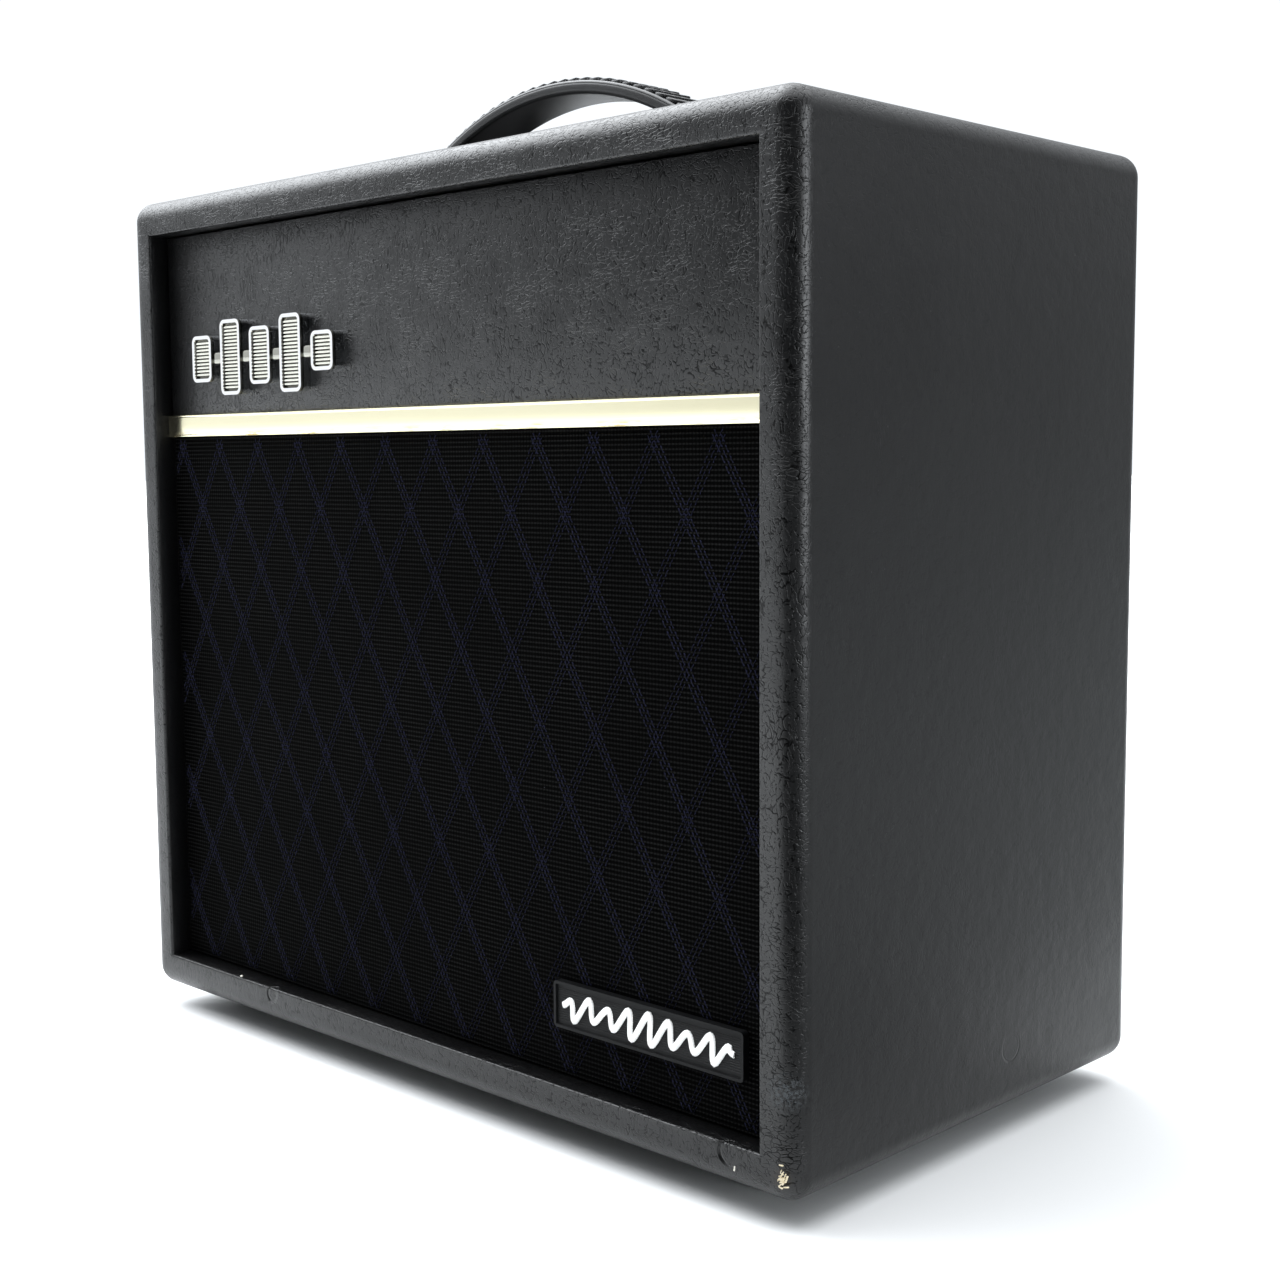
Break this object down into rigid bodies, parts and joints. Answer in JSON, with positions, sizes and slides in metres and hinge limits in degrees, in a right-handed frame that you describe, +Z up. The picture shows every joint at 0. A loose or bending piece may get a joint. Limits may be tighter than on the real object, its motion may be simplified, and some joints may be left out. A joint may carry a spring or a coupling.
{
  "type": "guitar combo amplifier",
  "caption": "Small vinyl-covered guitar combo amplifier with a diamond-weave grille, gold trim strip, chrome emblem, strap handle and a recessed top control panel.",
  "frame": {"origin": "bottom centre of the amplifier, on the floor under its feet", "axes": "front faces -Y, +X to the right seen from the front, +Z up"},
  "size_m": [0.386, 0.214, 0.406],
  "materials": {
    "board": "plain medium-density board, sawn",
    "strip_wood": "sawn pine",
    "vinyl": "black vinyl with a crinkled leather grain, satin",
    "grille_cloth": "woven cloth, black with fine ribs and dark blue diamond threads",
    "gold_trim": "pale gold, polished",
    "badge_chrome": "bright chrome plating",
    "nameplate_black": "moulded, dark grey",
    "black_screw": "black oxide",
    "plated_screw": "zinc plated",
    "foot_rubber": "moulded black rubber",
    "strap_rubber": "moulded black strap, satin",
    "cap_plastic": "moulded black",
    "basket_paint": "black paint",
    "ferrite": "ground ferrite",
    "plated_steel": "plated",
    "surround": "doped cloth",
    "spider": "resin-treated cloth",
    "lead": "insulated wire",
    "panel_paint": "black enamel, satin",
    "chassis_paint": "black powder coat",
    "circuit": "solder mask",
    "capacitor": "sleeved can",
    "core_steel": "laminated and varnished",
    "bare_aluminium": "bare",
    "socket_ceramic": "plain",
    "valve_glass": "clear",
    "bright_nut": "nickel plated",
    "jack_plastic": "moulded black",
    "inlet_plastic": "moulded black",
    "pin_metal": "nickel plated",
    "led": "clear red",
    "cone_paper": "pressed paper",
    "cap_paper": "pressed paper",
    "coil_metal": "wound former",
    "rocker_plastic": "moulded black",
    "button_plastic": "moulded",
    "knob_plastic": "moulded black"
  },
  "bodies": {
    "cabinet": {"badge": "badge_chrome", "baffle_board": "board", "bottom_board": "board", "bushing_nuts": "bright_nut", "capacitors": "capacitor", "chassis_rear_plate": "chassis_paint", "chassis_tray": "chassis_paint", "control_panel": "panel_paint", "feet": "foot_rubber", "front_panel": "vinyl", "grille_cloth": "grille_cloth", "handle_caps": "cap_plastic", "handle_strap": "strap_rubber", "heatsink": "bare_aluminium", "indicator_leds": "led", "inlet_pins": "pin_metal", "jack_sockets": "jack_plastic", "left_board": "board", "main_board": "circuit", "mounting_strips": "strip_wood", "nameplate": "nameplate_black", "plated_screws": "plated_screw", "pot_bodies": "plated_steel", "power_inlet": "inlet_plastic", "power_transformer": "core_steel", "rear_board": "vinyl", "rear_screws": "black_screw", "right_board": "board", "speaker_basket": "basket_paint", "speaker_lead": "lead", "speaker_magnet": "ferrite", "speaker_spider": "spider", "speaker_surround": "surround", "speaker_yoke": "plated_steel", "switch_bodies": "jack_plastic", "top_board": "board", "trim_strip": "gold_trim", "valve": "valve_glass", "valve_socket": "socket_ceramic", "vinyl_covering": "vinyl"},
    "amp_control": {"amp_knob": "knob_plastic", "amp_spindle": "bare_aluminium"},
    "gain_control": {"gain_knob": "knob_plastic", "gain_spindle": "bare_aluminium"},
    "treble_control": {"treble_knob": "knob_plastic", "treble_spindle": "bare_aluminium"},
    "middle_control": {"middle_knob": "knob_plastic", "middle_spindle": "bare_aluminium"},
    "bass_control": {"bass_knob": "knob_plastic", "bass_spindle": "bare_aluminium"},
    "effect_control": {"effect_knob": "knob_plastic", "effect_spindle": "bare_aluminium"},
    "volume_control": {"volume_knob": "knob_plastic", "volume_spindle": "bare_aluminium"},
    "channel_button": {"channel_button": "button_plastic"},
    "tap_button": {"tap_button": "button_plastic"},
    "power_rocker": {"power_rocker": "rocker_plastic"},
    "speaker_cone": {"speaker_cone": "cone_paper", "dust_cap": "cap_paper", "voice_coil": "coil_metal"}
  },
  "joints": [
    {"name": "amp_turn", "type": "hinge", "parent": "cabinet", "child": "amp_control", "pos_m": [-0.11, 0.049, 0.3532], "axis": [0, 0, 1], "range_deg": [-150, 150]},
    {"name": "gain_turn", "type": "hinge", "parent": "cabinet", "child": "gain_control", "pos_m": [-0.076, 0.049, 0.3532], "axis": [0, 0, 1], "range_deg": [-150, 150]},
    {"name": "treble_turn", "type": "hinge", "parent": "cabinet", "child": "treble_control", "pos_m": [-0.042, 0.049, 0.3532], "axis": [0, 0, 1], "range_deg": [-150, 150]},
    {"name": "middle_turn", "type": "hinge", "parent": "cabinet", "child": "middle_control", "pos_m": [-0.008, 0.049, 0.3532], "axis": [0, 0, 1], "range_deg": [-150, 150]},
    {"name": "bass_turn", "type": "hinge", "parent": "cabinet", "child": "bass_control", "pos_m": [0.026, 0.049, 0.3532], "axis": [0, 0, 1], "range_deg": [-150, 150]},
    {"name": "effect_turn", "type": "hinge", "parent": "cabinet", "child": "effect_control", "pos_m": [0.06, 0.049, 0.3532], "axis": [0, 0, 1], "range_deg": [-150, 150]},
    {"name": "volume_turn", "type": "hinge", "parent": "cabinet", "child": "volume_control", "pos_m": [0.112, 0.049, 0.3532], "axis": [0, 0, 1], "range_deg": [-150, 150]},
    {"name": "channel_press", "type": "slide", "parent": "cabinet", "child": "channel_button", "axis": [0, 0, -1], "range_m": [0, 0.0015], "stiffness_N_per_m": 300},
    {"name": "tap_press", "type": "slide", "parent": "cabinet", "child": "tap_button", "axis": [0, 0, -1], "range_m": [0, 0.0015], "stiffness_N_per_m": 300},
    {"name": "power_rock", "type": "hinge", "parent": "cabinet", "child": "power_rocker", "pos_m": [0.088, 0.0954, 0.322], "axis": [1, 0, 0], "range_deg": [-18, 0]},
    {"name": "cone_stroke", "type": "slide", "parent": "cabinet", "child": "speaker_cone", "axis": [0, 1, 0], "range_m": [-0.003, 0.003], "stiffness_N_per_m": 2000, "deforming": ["speaker_surround", "speaker_spider"]}
  ]
}
